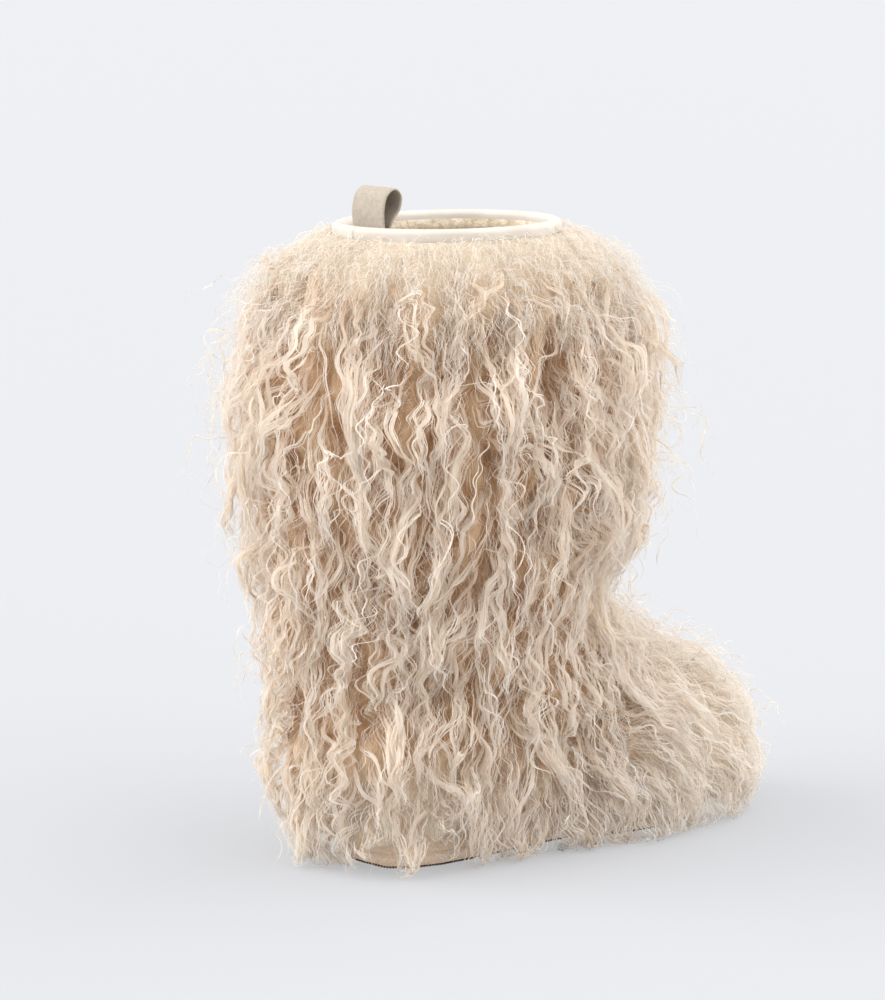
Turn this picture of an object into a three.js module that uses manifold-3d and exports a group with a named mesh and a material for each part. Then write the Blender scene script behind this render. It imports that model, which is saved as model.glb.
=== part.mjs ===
// Right snow boot: a hollow foot and shaft covered in long curly fur, on a low wedge sole.
// Millimetres, +Z up, +X towards the toe, +Y towards the wearer's left.
// The origin is on the floor under the middle of the heel.
import * as THREE from "three";
import { mergeVertices } from "three/addons/utils/BufferGeometryUtils.js";
import Module from "manifold-3d";

const wasm = await Module();
wasm.setup();

// Driving dimensions of the sole
const SOLE_BACK = -34;
const SOLE_FRONT = 228;
const SOLE_HEEL_HALF = 33.5;
const SOLE_BALL_HALF = 48;
const HEEL_SEAT = 22;
const BALL_SEAT = 16.5;
const TOE_SPRING = 9;
const HEEL_BEVEL = 4;
const ARCH_RISE = 2.5;
const LUG_DEPTH = 2.5;
const PLATE_THICKNESS = 3;

// Where the underside leaves the floor, as places along X
const BEVEL_STARTS = -20;
const ARCH_BACK = 60;
const ARCH_FRONT = 114;
const SPRING_STARTS = 160;

// Cross bars of the tread: one is centred on the origin
const BAR_PITCH = 11;
const BAR_LENGTH = 7.6;
const BAR_INSET = 0.8;
const BAR_ROOT = 0.8;
const HEEL_BARS = { first: -2, last: 5 };
const BALL_BARS = { first: 11, last: 19 };

// Driving dimensions of the upper, its collar and its trim
const WALL = 2.5;
const GAP = 0.3;
const FUR_GAP = 0.7;
const COLLAR_HEIGHT = 341;
const INSOLE_THICKNESS = 5;
const INSOLE_CROWN = 1.2;
const BINDING_DROP = 8;
const BINDING_THICKNESS = 2.2;
const BINDING_CROWN = 3;
const LOOP_WIDTH = 26;
const LOOP_THICKNESS = 1.5;
const LOOP_TAIL = 18;

// Number of steps along one side of the foot, from heel to toe
const SIDE_STEPS = 16;
const RING = 2 * SIDE_STEPS;

// Outline of the foot from above: share of the length, and share of the half width on each side
const PLAN = [
  { at: 0.0, lateral: 0.0, medial: 0.0 },
  { at: 0.03, lateral: 0.54, medial: 0.54 },
  { at: 0.09, lateral: 0.86, medial: 0.86 },
  { at: 0.18, lateral: 1.0, medial: 1.0 },
  { at: 0.34, lateral: 0.94, medial: 0.86 },
  { at: 0.48, lateral: 0.9, medial: 0.75 },
  { at: 0.6, lateral: 0.97, medial: 0.88 },
  { at: 0.72, lateral: 1.0, medial: 1.0 },
  { at: 0.84, lateral: 0.86, medial: 0.98 },
  { at: 0.93, lateral: 0.56, medial: 0.76 },
  { at: 1.0, lateral: -0.1, medial: 0.1 },
];

// Level sections of the last, outside the wall. shaft is 0 for the foot's outline and 1 for an ellipse
// with the half width that half gives.
const LAST = [
  { z: 22, back: -31.5, front: 223, heel: 31, ball: 45, half: 40, shaft: 0 },
  { z: 30, back: -33.5, front: 226.5, heel: 32.5, ball: 47, half: 40, shaft: 0 },
  { z: 42, back: -34.5, front: 224, heel: 33.5, ball: 47, half: 40, shaft: 0 },
  { z: 54, back: -34.5, front: 212, heel: 34, ball: 45.5, half: 40, shaft: 0 },
  { z: 64, back: -34, front: 193, heel: 34, ball: 43.5, half: 40, shaft: 0.05 },
  { z: 74, back: -33, front: 168, heel: 34, ball: 41.5, half: 40, shaft: 0.15 },
  { z: 86, back: -32, front: 143, heel: 34.5, ball: 40, half: 40.5, shaft: 0.32 },
  { z: 100, back: -31, front: 123, heel: 35, ball: 39.5, half: 41.5, shaft: 0.58 },
  { z: 120, back: -30.5, front: 109.5, heel: 36, ball: 40, half: 43.5, shaft: 0.86 },
  { z: 150, back: -30, front: 103, heel: 38, ball: 42, half: 46.5, shaft: 1 },
  { z: 205, back: -29, front: 101, heel: 40, ball: 44, half: 50, shaft: 1 },
  { z: 270, back: -28, front: 100.5, heel: 42, ball: 46, half: 52.5, shaft: 1 },
  { z: 341, back: -27, front: 100, heel: 44, ball: 48, half: 53.5, shaft: 1 },
];

// Levels at which the wall is sectioned, between the sole and the collar
const WALL_LEVELS = [28, 36, 46, 55, 63, 71, 79, 88, 97, 106, 116, 130, 155, 205, 270];
const RAKE_ENDS = 90;

// Outside of the dense pile: its height above the skin at each level of the last
const PILE = [
  { z: 25, lift: 5 },
  { z: 31, lift: 11 },
  { z: 45, lift: 16 },
  { z: 58, lift: 18 },
  { z: 70, lift: 20 },
  { z: 84, lift: 22 },
  { z: 104, lift: 25 },
  { z: 130, lift: 29 },
  { z: 170, lift: 37 },
  { z: 220, lift: 44 },
  { z: 270, lift: 44 },
  { z: 306, lift: 38 },
  { z: 325, lift: 25 },
  { z: 332, lift: 10 },
];
const PILE_HEM = 24;
const PILE_TOP = 331.5;

// Rows of locks: level of the roots, locks in the row, length, how far the lock stands out from the skin,
// its width, and how far the row is turned, in locks
const LOCK_ROWS = [
  { z: 316, count: 14, length: 92, reach: 58, width: 29, turn: 0.0 },
  { z: 280, count: 15, length: 96, reach: 59, width: 28, turn: 0.5 },
  { z: 236, count: 15, length: 92, reach: 57, width: 27, turn: 0.1 },
  { z: 190, count: 14, length: 88, reach: 50, width: 25, turn: 0.6 },
  { z: 146, count: 14, length: 80, reach: 42, width: 23, turn: 0.2 },
  { z: 106, count: 14, length: 70, reach: 36, width: 22, turn: 0.7 },
  { z: 78, count: 15, length: 58, reach: 31, width: 21, turn: 0.3 },
  { z: 52, count: 17, length: 44, reach: 26, width: 20, turn: 0.8 },
];
const LOCK_SECTIONS = 5;
const LOCK_ROOT_LIFT = 9;
const LOCK_THICKNESS = 0.42;
const LOCK_SWAY = 5;
const LOCK_WAVES = 1.4;
const FLOOR_CLEARANCE = 4;

// Edges shorter than this are merged where pieces are joined
const JOIN_TOLERANCE = 0.1;

const clamp = THREE.MathUtils.clamp;
const mix = THREE.MathUtils.lerp;
const smoothstep = THREE.MathUtils.smoothstep;
const TURN = 2 * Math.PI;

// Value of one column of a table at a place between its rows, on a smooth curve through them.
function column(table, key, name, at) {
  const last = table.length - 1;
  const place = clamp(at, table[0][key], table[last][key]);
  let i = 0;
  while (i < last - 1 && place > table[i + 1][key]) i += 1;
  const slope = (a, b) => (table[b][name] - table[a][name]) / (table[b][key] - table[a][key]);
  const tangent = (k) => slope(Math.max(k - 1, 0), Math.min(k + 1, last));
  const width = table[i + 1][key] - table[i][key];
  const t = (place - table[i][key]) / width;
  const start = table[i][name];
  const end = table[i + 1][name];
  const rise = 3 * (end - start) - width * (2 * tangent(i) + tangent(i + 1));
  const settle = 2 * (start - end) + width * (tangent(i) + tangent(i + 1));
  return start + t * (width * tangent(i) + t * (rise + t * settle));
}

// The plan's shares are smooth in the angle that spaces points finely at heel and toe.
const PLAN_BY_ANGLE = PLAN.map((row) => ({ ...row, angle: Math.acos(1 - 2 * row.at) }));

// A point of a level outline. turn runs from 0 at the heel, along the outer side to the toe, and back.
function outline(turn, section) {
  const outer = turn <= Math.PI;
  const angle = outer ? turn : TURN - turn;
  const side = outer ? -1 : 1;
  const share = (1 - Math.cos(angle)) / 2;
  const half = mix(section.heel, section.ball, smoothstep(share, 0.2, 0.72));
  const foot = half * column(PLAN_BY_ANGLE, "angle", outer ? "lateral" : "medial", angle);
  const shaft = section.half * Math.sin(angle);
  const x = mix(section.back, section.front, share);
  return new THREE.Vector2(x, side * mix(foot, shaft, section.shaft));
}

// Underside of the tread and top of the midsole, above the floor
function spring(x) {
  return TOE_SPRING * Math.max(0, (x - SPRING_STARTS) / (SOLE_FRONT - SPRING_STARTS)) ** 2;
}

function tread(x) {
  const bevel = HEEL_BEVEL * Math.max(0, (BEVEL_STARTS - x) / (BEVEL_STARTS - SOLE_BACK)) ** 2;
  const along = clamp((x - ARCH_BACK) / (ARCH_FRONT - ARCH_BACK), 0, 1);
  return bevel + ARCH_RISE * Math.sin(Math.PI * along) ** 2 + spring(x);
}

function seat(x) {
  return mix(HEEL_SEAT, BALL_SEAT, smoothstep(x, 15, 140)) + 0.8 * spring(x);
}

// The last: a point on the outside of the wall, and its outward direction
function sectionAt(z) {
  const names = ["back", "front", "heel", "ball", "half", "shaft"];
  return Object.fromEntries(names.map((name) => [name, column(LAST, "z", name, z)]));
}

function skin(turn, z) {
  const p = outline(turn, sectionAt(z));
  const rake = (seat(p.x) - HEEL_SEAT) * (1 - smoothstep(z, HEEL_SEAT, RAKE_ENDS));
  return new THREE.Vector3(p.x, p.y, z + rake);
}

const wrap = (turn) => (turn + TURN) % TURN;

function skinFrame(turn, z) {
  const dTurn = 0.02;
  const dZ = 0.5;
  const around = skin(wrap(turn + dTurn), z).sub(skin(wrap(turn - dTurn), z)).normalize();
  const above = skin(turn, Math.min(z + dZ, COLLAR_HEIGHT));
  const below = skin(turn, Math.max(z - dZ, HEEL_SEAT));
  const up = above.sub(below).normalize();
  const out = new THREE.Vector3().crossVectors(around, up).normalize();
  return { around, up, out };
}

function lifted(turn, z, lift) {
  return skin(turn, z).addScaledVector(skinFrame(turn, z).out, lift);
}

const turnAt = (i, count = RING) => (TURN * i) / count;

function ringOf(pointAt, count = RING) {
  return Array.from({ length: count }, (_, i) => pointAt(turnAt(i, count)));
}

// Closed surfaces from rings of points
function geometryOf(points, triangles) {
  const geometry = new THREE.BufferGeometry();
  geometry.setAttribute("position", new THREE.Float32BufferAttribute(points.flatMap((p) => p.toArray()), 3));
  geometry.setIndex(triangles);
  return geometry;
}

function bandsBetween(rings, pairs) {
  const count = rings[0].length;
  const triangles = [];
  for (const [low, high] of pairs) {
    for (let i = 0; i < count; i += 1) {
      const next = (i + 1) % count;
      const a = low * count + i;
      const b = low * count + next;
      const c = high * count + next;
      const d = high * count + i;
      triangles.push(a, b, c, a, c, d);
    }
  }
  return triangles;
}

// A wall that closes on itself: up the outside, over the rim, down the inside.
function wallOf(rings) {
  const pairs = rings.map((_, k) => [k, (k + 1) % rings.length]);
  return geometryOf(rings.flat(), bandsBetween(rings, pairs));
}

// A slab from its lowest ring to its highest, closed by strips from the outer side to the inner one.
function slabOf(rings) {
  const count = rings[0].length;
  const pairs = rings.slice(1).map((_, k) => [k, k + 1]);
  const triangles = bandsBetween(rings, pairs);
  const top = (rings.length - 1) * count;
  for (let j = 0; j < count / 2; j += 1) {
    const [a, b] = [j, j + 1];
    const [c, d] = [(count - j - 1) % count, (count - j) % count];
    const corners = j === 0 ? [[a, b, c]] : [[a, b, c], [a, c, d]];
    for (const [p, q, r] of corners) {
      if (p === q || q === r) continue;
      triangles.push(top + p, top + q, top + r, p, r, q);
    }
  }
  return geometryOf(rings.flat(), triangles);
}

// Joining closed geometries
function toSolid(geometry) {
  const bare = geometry.clone();
  bare.deleteAttribute("normal");
  bare.deleteAttribute("uv");
  const merged = mergeVertices(bare);
  const vertProperties = merged.attributes.position.array;
  return new wasm.Manifold(
    new wasm.Mesh({ numProp: 3, vertProperties, triVerts: new Uint32Array(merged.index.array) }),
  );
}

function toGeometry(solid) {
  const mesh = solid.getMesh();
  const geometry = new THREE.BufferGeometry();
  geometry.setAttribute("position", new THREE.BufferAttribute(mesh.vertProperties, 3));
  geometry.setIndex(new THREE.BufferAttribute(mesh.triVerts, 1));
  return geometry;
}

// The joined body keeps its largest surface, so pockets closed in between its pieces are filled.
function joined(geometries) {
  const [first, ...rest] = geometries.map(toSolid);
  const surfaces = rest.reduce((whole, piece) => whole.add(piece), first).decompose();
  const largest = surfaces.reduce((best, one) => (one.volume() > best.volume() ? one : best));
  return toGeometry(largest.simplify(JOIN_TOLERANCE));
}

// Sole
function soleSection(inset) {
  return {
    back: SOLE_BACK + inset,
    front: SOLE_FRONT - inset,
    heel: SOLE_HEEL_HALF - inset,
    ball: SOLE_BALL_HALF - inset,
    half: 0,
    shaft: 0,
  };
}

function soleRing(inset, heightAt) {
  return ringOf((turn) => {
    const p = outline(turn, soleSection(inset));
    return new THREE.Vector3(p.x, p.y, heightAt(p.x));
  });
}

const plateBottom = (x) => tread(x) + LUG_DEPTH;
const plateTop = (x) => plateBottom(x) + PLATE_THICKNESS;

// Half width of the tread at a place along X, on the outer (-1) or inner (1) side
function treadEdge(x, side) {
  const section = soleSection(BAR_INSET);
  const share = clamp((x - section.back) / (section.front - section.back), 0, 1);
  const angle = Math.acos(1 - 2 * share);
  return outline(side < 0 ? angle : TURN - angle, section).y;
}

function treadBar(centre) {
  const rings = [-1, 1].map((level) =>
    [[-1, -1], [1, -1], [1, 1], [-1, 1]].map(([end, side]) => {
      const x = centre + (end * BAR_LENGTH) / 2;
      const z = level < 0 ? tread(x) : plateBottom(x) + BAR_ROOT;
      return new THREE.Vector3(x, treadEdge(x, side), z);
    }),
  );
  return slabOf(rings);
}

function outsole() {
  const plate = slabOf([
    soleRing(1.2, plateBottom),
    soleRing(0, (x) => plateBottom(x) + 1),
    soleRing(0, plateTop),
  ]);
  const bars = [HEEL_BARS, BALL_BARS].flatMap(({ first, last }) =>
    Array.from({ length: last - first + 1 }, (_, k) => treadBar((first + k) * BAR_PITCH)),
  );
  return joined([plate, ...bars]);
}

function midsole() {
  const low = (x) => plateTop(x) + GAP;
  const at = (share) => (x) => mix(low(x), seat(x), share);
  return slabOf([soleRing(0.8, low), soleRing(-0.4, at(0.25)), soleRing(-0.2, at(0.7)), soleRing(1.4, seat)]);
}

function insole() {
  const bottom = (x) => seat(x) + GAP;
  const inner = LAST[0];
  const inset = WALL + 2 * GAP;
  const ring = (more, rise) =>
    ringOf((turn) => {
      const section = {
        ...inner,
        back: inner.back + inset + more,
        front: inner.front - inset - more,
        heel: inner.heel - inset - more,
        ball: inner.ball - inset - more,
      };
      const p = outline(turn, section);
      return new THREE.Vector3(p.x, p.y, bottom(p.x) + rise);
    });
  return slabOf([ring(0.6, 0), ring(0.2, INSOLE_THICKNESS - INSOLE_CROWN), ring(5, INSOLE_THICKNESS)]);
}

// Upper: one wall from the sole's edge to the collar
function upper() {
  const levels = [HEEL_SEAT + GAP, ...WALL_LEVELS, COLLAR_HEIGHT];
  const outside = levels.map((z) => ringOf((turn) => skin(turn, z)));
  const inside = levels.map((z, k) =>
    ringOf((turn) => {
      const p = lifted(turn, z, -WALL);
      if (k === 0) p.z = skin(turn, z).z;
      return p;
    }),
  );
  return wallOf([...outside, ...inside.reverse()]);
}

// Fur: a dense pile over the skin, with hanging locks fused to it
function pile() {
  const levels = [PILE_HEM, ...WALL_LEVELS, PILE_TOP];
  const inside = levels.map((z) => ringOf((turn) => lifted(turn, z, FUR_GAP)));
  const outside = PILE.map(({ z, lift }) => ringOf((turn) => lifted(turn, z, lift)));
  return wallOf([...outside, ...inside.reverse()]);
}

// Way down the skin from a root: a step at a time to the hem, and past it on the way it was going.
function wayDown(turn, z, length, steps) {
  const way = [];
  let level = z;
  const place = skin(turn, z);
  for (let k = 0; k <= steps; k += 1) {
    const frame = skinFrame(turn, level);
    way.push({ place: place.clone(), ...frame });
    const stride = length / steps;
    const next = level - stride * Math.max(frame.up.z, 0.12);
    if (next > PILE_HEM) {
      level = next;
      place.copy(skin(turn, level));
    } else {
      place.addScaledVector(frame.up.clone().setZ(0.8).normalize(), -stride);
    }
  }
  return way;
}

// One lock: a flat tapered tress that leaves the skin, falls along it and sways from side to side.
function lock(turn, row, index) {
  const way = wayDown(turn, row.z, row.length, LOCK_SECTIONS);
  const sections = way.map(({ place, around, out }, k) => {
    const t = k / LOCK_SECTIONS;
    const lift = mix(LOCK_ROOT_LIFT, row.reach, Math.sin((Math.PI / 2) * Math.min(1, 1.8 * t)));
    const sway = LOCK_SWAY * t * Math.sin(TURN * LOCK_WAVES * t + 2.4 * index);
    const centre = place.clone().addScaledVector(out, lift).addScaledVector(around, sway);
    centre.z = Math.max(centre.z, FLOOR_CLEARANCE);
    const half = (row.width / 2) * (1 - t ** 1.7) * (0.75 + 0.25 * Math.sin(Math.PI * t));
    const rise = half * LOCK_THICKNESS;
    const corner = (across, raised) =>
      centre.clone().addScaledVector(around, across * half).addScaledVector(out, raised * rise);
    return [corner(-1, -1), corner(1, -1), corner(0.15, 1)];
  });
  const tip = sections.pop()[0];
  const pairs = sections.slice(1).map((_, k) => [k, k + 1]);
  const tipIndex = sections.length * 3;
  const lastRing = tipIndex - 3;
  const triangles = [0, 2, 1, ...bandsBetween(sections, pairs)];
  for (let i = 0; i < 3; i += 1) triangles.push(lastRing + i, lastRing + ((i + 1) % 3), tipIndex);
  return geometryOf([...sections.flat(), tip], triangles);
}

function fur() {
  const locks = LOCK_ROWS.flatMap((row) =>
    Array.from({ length: row.count }, (_, i) => lock(turnAt(i + row.turn, row.count), row, i)),
  );
  return joined([pile(), ...locks]);
}

// Collar binding: a strip folded over the rim, in section as height above the skin and level
function collarBinding() {
  const low = COLLAR_HEIGHT - BINDING_DROP;
  const shoulder = COLLAR_HEIGHT + 0.6;
  const crown = COLLAR_HEIGHT + BINDING_CROWN;
  const outerFace = GAP + BINDING_THICKNESS;
  const innerFace = -WALL - outerFace;
  const fold = [
    { lift: outerFace, z: low },
    { lift: outerFace, z: shoulder },
    { lift: outerFace - 1.4, z: crown },
    { lift: innerFace + 1.4, z: crown },
    { lift: innerFace, z: shoulder },
    { lift: innerFace, z: low },
    { lift: -WALL - GAP, z: low },
    { lift: -WALL - GAP, z: COLLAR_HEIGHT + GAP },
    { lift: GAP, z: COLLAR_HEIGHT + GAP },
    { lift: GAP, z: low },
  ];
  const ring = ({ lift, z }) =>
    ringOf((turn) => {
      const p = lifted(turn, Math.min(z, COLLAR_HEIGHT), lift);
      p.z = z;
      return p;
    });
  return wallOf(fold.map(ring));
}

// Pull loop: webbing that rises inside the back of the collar, leans forward and comes back down.
// ahead is measured from the webbing's back face, up from the top of the binding.
const LOOP_LINE = [
  { ahead: 0.8, up: -LOOP_TAIL },
  { ahead: 0.8, up: -1 },
  { ahead: 0.4, up: 8 },
  { ahead: 2.6, up: 16 },
  { ahead: 8, up: 19.5 },
  { ahead: 12.4, up: 16 },
  { ahead: 11.6, up: 9 },
  { ahead: 5.2, up: -0.5 },
  { ahead: 2.7, up: -LOOP_TAIL },
];
const LOOP_STEPS = 30;

function pullLoop() {
  const line = new THREE.SplineCurve(LOOP_LINE.map(({ ahead, up }) => new THREE.Vector2(ahead, up)));
  const edge = (offset) =>
    Array.from({ length: LOOP_STEPS + 1 }, (_, k) => {
      const t = k / LOOP_STEPS;
      const along = line.getTangent(t);
      return line.getPoint(t).add(new THREE.Vector2(-along.y, along.x).multiplyScalar(offset));
    });
  const half = LOOP_THICKNESS / 2;
  const shape = new THREE.Shape([...edge(half), ...edge(-half).reverse()]);
  const geometry = new THREE.ExtrudeGeometry(shape, { depth: LOOP_WIDTH, bevelEnabled: false, steps: 1 });
  return geometry.translate(0, 0, -LOOP_WIDTH / 2).rotateX(Math.PI / 2);
}

// Where the flat webbing meets the curved inside of the binding
function loopSeat() {
  const collar = sectionAt(COLLAR_HEIGHT);
  const inset = WALL + 3 * GAP + BINDING_THICKNESS;
  const length = (collar.front - collar.back) / 2 - inset;
  const centre = (collar.front + collar.back) / 2;
  const edge = LOOP_WIDTH / 2 / (collar.half - inset);
  return centre - length * Math.sqrt(1 - edge ** 2);
}

// Materials and the assembled boot
const material = (color, roughness) => new THREE.MeshStandardMaterial({ color, roughness, metalness: 0 });
const FUR_CREAM = material(0xe2cfb4, 0.85);
const SUEDE_SAND = material(0xc9ac88, 0.9);
const RUBBER_BROWN = material(0x6f5b47, 0.8);
const FLEECE_CREAM = material(0xdcc7a3, 0.95);
const LEATHER_IVORY = material(0xefe3d0, 0.55);
const WEBBING_ECRU = material(0xe0d6c4, 0.8);

const boot = new THREE.Group();

function add(name, geometry, look) {
  const mesh = new THREE.Mesh(geometry, look);
  mesh.name = name;
  boot.add(mesh);
  return mesh;
}

add("outsole", outsole(), RUBBER_BROWN);
add("midsole", midsole(), SUEDE_SAND);
add("insole", insole(), FLEECE_CREAM);
add("upper", upper(), SUEDE_SAND);
add("fur", fur(), FUR_CREAM);
add("collar_binding", collarBinding(), LEATHER_IVORY);
add("pull_loop", pullLoop(), WEBBING_ECRU).position.set(loopSeat(), 0, COLLAR_HEIGHT + BINDING_CROWN);

export default boot;
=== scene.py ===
# Right snow boot: looks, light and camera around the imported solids. Metres, +X to the toe, +Z up.
import math

import bmesh
import bpy
import numpy as np
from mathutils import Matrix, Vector, noise
from mathutils.bvhtree import BVHTree
from mathutils.kdtree import KDTree


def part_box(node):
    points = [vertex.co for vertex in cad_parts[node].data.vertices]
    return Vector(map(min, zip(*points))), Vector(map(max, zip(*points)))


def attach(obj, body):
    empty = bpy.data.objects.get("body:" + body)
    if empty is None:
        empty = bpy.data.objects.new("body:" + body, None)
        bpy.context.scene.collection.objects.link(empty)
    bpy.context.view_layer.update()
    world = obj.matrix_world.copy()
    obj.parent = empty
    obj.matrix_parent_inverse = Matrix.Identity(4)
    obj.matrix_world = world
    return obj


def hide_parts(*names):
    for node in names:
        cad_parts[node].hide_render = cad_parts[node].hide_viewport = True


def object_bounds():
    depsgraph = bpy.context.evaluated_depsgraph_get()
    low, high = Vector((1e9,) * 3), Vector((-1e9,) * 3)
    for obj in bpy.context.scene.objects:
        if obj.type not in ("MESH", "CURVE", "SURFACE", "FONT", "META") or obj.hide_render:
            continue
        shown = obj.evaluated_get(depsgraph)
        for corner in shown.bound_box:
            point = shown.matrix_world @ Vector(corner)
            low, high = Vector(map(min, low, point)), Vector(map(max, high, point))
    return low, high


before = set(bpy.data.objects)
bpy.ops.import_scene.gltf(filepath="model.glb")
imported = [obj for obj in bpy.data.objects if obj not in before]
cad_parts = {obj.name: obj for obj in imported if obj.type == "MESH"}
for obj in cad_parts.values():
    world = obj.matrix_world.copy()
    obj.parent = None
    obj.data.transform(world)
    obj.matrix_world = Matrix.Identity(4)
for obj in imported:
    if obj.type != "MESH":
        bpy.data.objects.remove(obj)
cad_low, cad_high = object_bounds()

MM = 0.001
UP = np.array([0, 0, 1.0])
rng = np.random.default_rng(38)

# Least length and area that are divided by, and the digits of a metre that tell places apart
LEAST_SPAN = 1e-9
LEAST_AREA = 1e-12
PLACE_DIGITS = 6

# Camera, as the photograph has it: degrees, metres, and the lens in millimetres
VIEW_AZIMUTH = -41
CAMERA_DISTANCE = 2.2
CAMERA_HEIGHT = 0.552
CAMERA_AIM = (0.0345, 0.0017, 0.1915)
CAMERA_LENS = 148.2
SIGHT_END = 100

# Soft light from both sides of the view: name, strength, breadth in degrees and the way it shines
SUNS = [("key", 3.5, 70, (0.68, -0.4, -0.5)), ("fill", 3.5, 110, (-0.62, 0.6, -0.45))]
SKY_STRENGTH = 1.0
# The floor's own glow, and how far it runs to each side in metres
FLOOR_GLOW = 0.42
FLOOR_HALF = 40

# Colours, as sRGB
WHITE = (1.0, 1.0, 1.0)
FLOOR_WHITE = (0.5, 0.504, 0.514)
SKY_WHITE = (0.96, 0.965, 0.975)
# Darker tan at the hair's root: partly the hair's own tone, partly painted shade deep in the fur
ROOT_TAN_AND_SHADE = (0.87, 0.74, 0.6)
PILE_BEIGE = (0.988, 0.96, 0.922)
TIP_CREAM = (0.992, 0.98, 0.96)
FLUFF_CREAM = (0.952, 0.93, 0.898)
DOWN_CREAM = (0.982, 0.962, 0.934)
# The pelt under the locks: partly the wool's own tone, partly painted shade deep in the fur
PELT_PALE = (0.84, 0.775, 0.69)
PELT_TAN_AND_SHADE = (0.855, 0.735, 0.6)
PELT_BROWN_AND_SHADE = (0.69, 0.54, 0.405)
DULL_STRAND = (0.966, 0.938, 0.902)
STREAK = (0.87, 0.8, 0.72)
SUEDE_SAND = (0.925, 0.825, 0.73)
SUEDE_DARK = (0.845, 0.745, 0.645)
# Teeth along the sole's lower edge: dark partly as rubber, partly as painted shade between the lugs
TOOTH_BROWN_AND_SHADE = (0.3, 0.23, 0.17)
TOOTH_DARK_AND_SHADE = (0.22, 0.16, 0.12)
FLEECE_CREAM = (0.92, 0.875, 0.805)
FLEECE_SHADE = (0.82, 0.745, 0.64)
LEATHER_IVORY = (0.793, 0.765, 0.727)
LEATHER_SHADE = (0.758, 0.725, 0.683)
WEBBING_ECRU = (0.67, 0.628, 0.573)
WEBBING_SHADE = (0.63, 0.585, 0.53)

# Mottled materials: where the noise turns from dark shade to light, and the detail of colour and grain
MOTTLE_STOPS = (0.36, 0.62)
COLOUR_DETAIL = 5
GRAIN_DETAIL = 6
DULL_SPECULAR = 0.2
# Their roughness, the waves of colour and of grain in a metre, and the height of the grain in millimetres
PELT_LOOK = dict(roughness=0.95, colour_scale=130, grain_scale=900, grain_height=2.5, stretch=(1, 1, 0.4))
LEATHER_LOOK = dict(roughness=0.5, colour_scale=60, grain_scale=700, grain_height=0.12)
FLEECE_LOOK = dict(roughness=0.95, colour_scale=320, grain_scale=900, grain_height=0.8)
WEBBING_LOOK = dict(roughness=0.8, colour_scale=500, grain_scale=1500, grain_height=0.15)
SUEDE_LOOK = dict(roughness=0.95, colour_scale=900, grain_scale=1400, grain_height=0.35)
TREAD_LOOK = dict(roughness=0.85, colour_scale=700, grain_scale=1200, grain_height=0.2)
TOOTH_LOOK = dict(roughness=0.7, colour_scale=500, grain_scale=1500, grain_height=0.1)

# Hair: colours from root to tip, streaks across and along a strand, and how much light shines through
# The tan at the root is partly the hair's own tone and partly painted shade deep in the fur
FUR_STOPS = [(0.0, ROOT_TAN_AND_SHADE), (0.35, PILE_BEIGE), (0.7, PILE_BEIGE), (1.0, TIP_CREAM)]
FLUFF_STOPS = [(0.0, FLUFF_CREAM), (0.5, FLUFF_CREAM), (1.0, TIP_CREAM)]
DOWN_STOPS = [(0.0, DOWN_CREAM), (0.5, DOWN_CREAM), (1.0, TIP_CREAM)]
STREAK_SCALE = (75, 3, 1)
STREAK_STOPS = (0.28, 0.42)
STREAK_HEIGHT = 0.5
HAIR_ROUGHNESS = 0.7
SHINE_THROUGH = 0.5

# The fur by level above the floor, in millimetres: height of the dense pelt over the skin, how far it is
# teased up, length of a lock, and how far locks stand off the pelt
PELT_TOP = 333
LEVELS = np.array([20, 52, 78, 106, 146, 190, 236, 280, 306, 322, PELT_TOP])
PELT_LIFT = np.array([17, 23, 23, 24, 27, 32, 35, 35, 31, 22, 2.8])
PELT_PUFF = np.array([0, 0, 0, 0, 0, 0, 0, 2, 6, 9, 4.4])
LOCK_LENGTH = np.array([42, 58, 64, 68, 76, 84, 90, 92, 88, 76, 60])
LOCK_RISE = np.array([13, 15, 15, 15, 17, 19, 22, 23, 22, 17, 5])

# Levels and a place along X that part the fur into zones, in millimetres
HIGH_FROM = 240
MID_FROM = 140
FOOT_FROM = 60

# Pelt: the widest gap between skin and fur in the solids, and the parts a side that a triangle is cut into
FUR_GAP = 3
PELT_PARTS = 5
# Hollows between tresses and a slow wander, as shares of the pelt's height, and the levels where hollows end
HOLLOW_SHARE = 0.36
WANDER_SHARE = 0.06
HOLLOWS_END = (PELT_TOP, 318)
# Waves over the boot: turns along X, Y and Z in radians a millimetre, the start, and the first one's share
SLOW_WAVES = [(0.045, 0.06, 0.02, 0), (0.03, 0.09, -0.05, 1.7)]
QUICK_WAVES = [(0.21, 0.13, 0.07, 0.8), (-0.11, 0.19, 0.09, 0), (0.27, 0.33, -0.1, 2.1)]
FIRST_SHARE = 0.6
# Stretches along X, upward and downward over which the pelt pales, in millimetres
PALE_AHEAD = (85, 150)
PALE_ABOVE = (285, PELT_TOP)
PALE_BELOW = (75, 35)

# Thinner fur at the instep and over the toes: the share that is gone, and the stretches where it sets in
INSTEP_THINNING = 0.36
INSTEP_AHEAD = (35, 80)
INSTEP_ABOVE = (95, 125)
INSTEP_BELOW = (190, 150)
TOE_THINNING = 0.34
TOE_AHEAD = (165, 225)
TOE_ABOVE = (25, 70)
# How much hair is drawn forward over the foot beside down, and the stretches where that sets in
FORWARD_PULL = 1.2
FORWARD_BELOW = (130, 70)
FORWARD_ABOVE = (12, 50)
FORWARD_AHEAD = (20, 110)

# The outer back of the heel, where most hair ends early to show the sole: how far ahead it reaches, half its
# angle, its turn from the view, the hem's level and scatter, and the least length of hair, in millimetres
HEEL_REACH = 8
HEEL_WINDOW = math.radians(56)
HEEL_TURN = math.radians(14)
HEEL_HEM = 29
HEM_SCATTER = 3
LEAST_LENGTH = 4
# Tufts that hang over the sole there all the same: how many in a whole turn, and how thin, from -1 to 1
HEEL_TUFTS = 11
TUFT_THINNESS = 0.75

# A stretch along X that takes in the whole boot
ANYWHERE = (-200, 300)
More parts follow.
